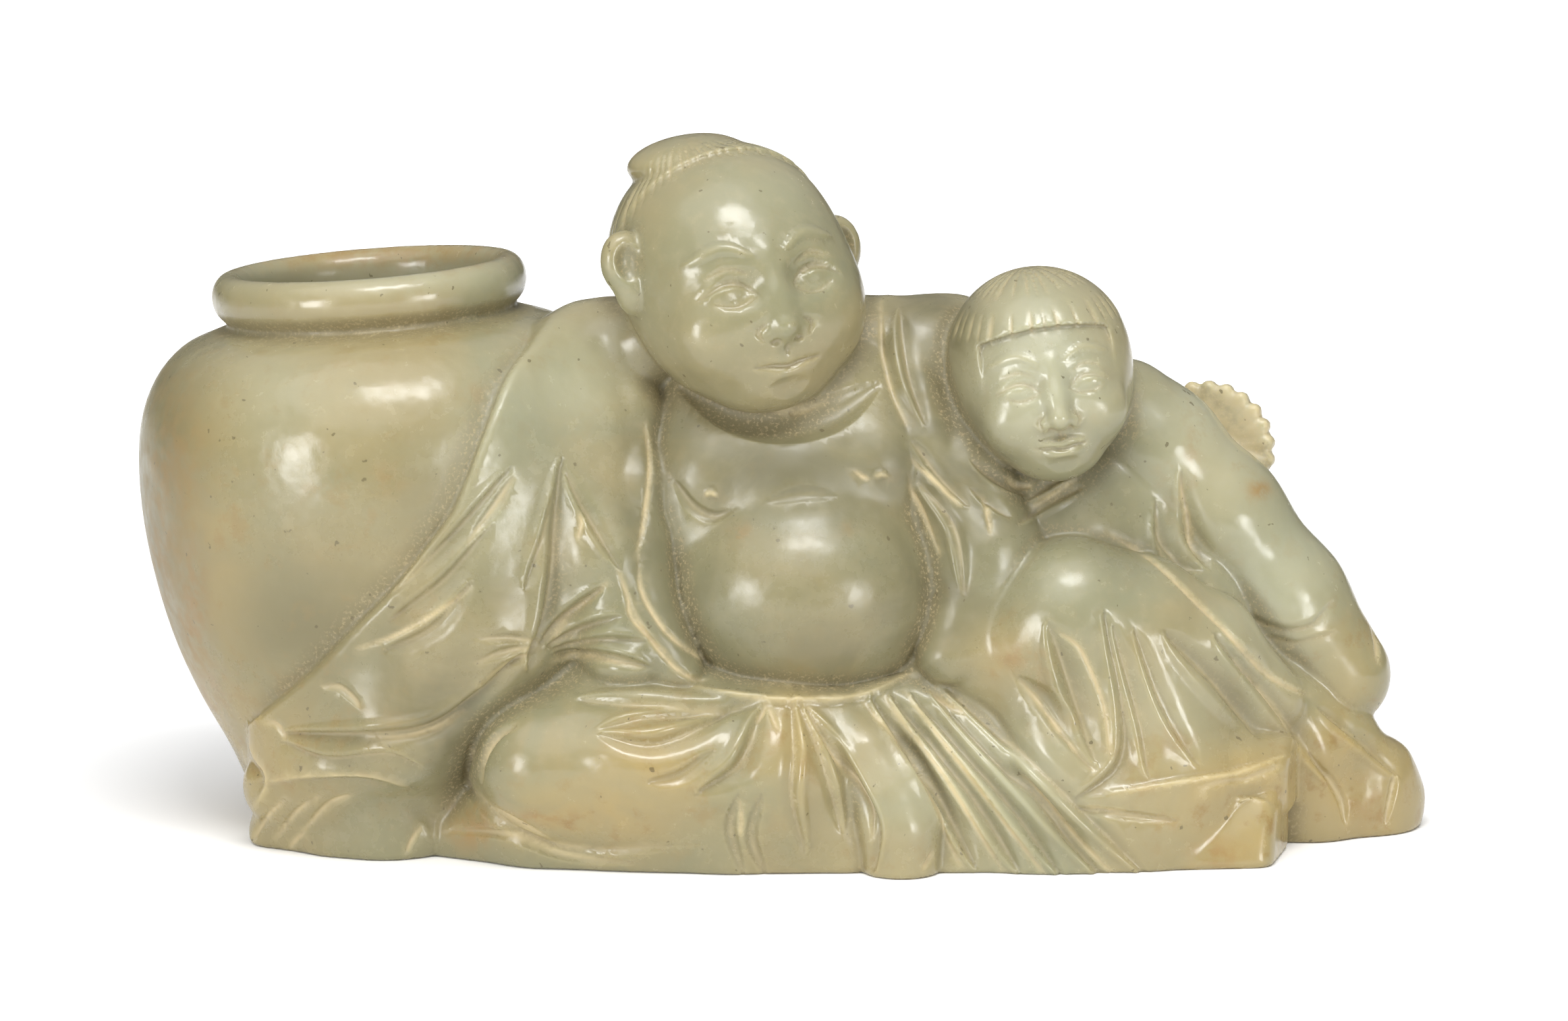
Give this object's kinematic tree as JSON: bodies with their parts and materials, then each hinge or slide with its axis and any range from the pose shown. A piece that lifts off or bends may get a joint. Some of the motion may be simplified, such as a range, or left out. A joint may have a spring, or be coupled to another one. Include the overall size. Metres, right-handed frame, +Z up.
{
  "type": "jade figure group",
  "caption": "Carved jade group of a seated man and a boy beside a hollow open jar, which stands on its flat underside.",
  "frame": {"origin": "on the flat underside, below the seated man's back", "axes": "+Z up out of the underside, +X to the viewer's right from the jar towards the boy, +Y away from the viewer"},
  "size_m": [0.1308, 0.0536, 0.0715],
  "materials": {
    "jade": "gloss"
  },
  "bodies": {
    "root": {"jade_group": "jade"}
  },
  "joints": []
}
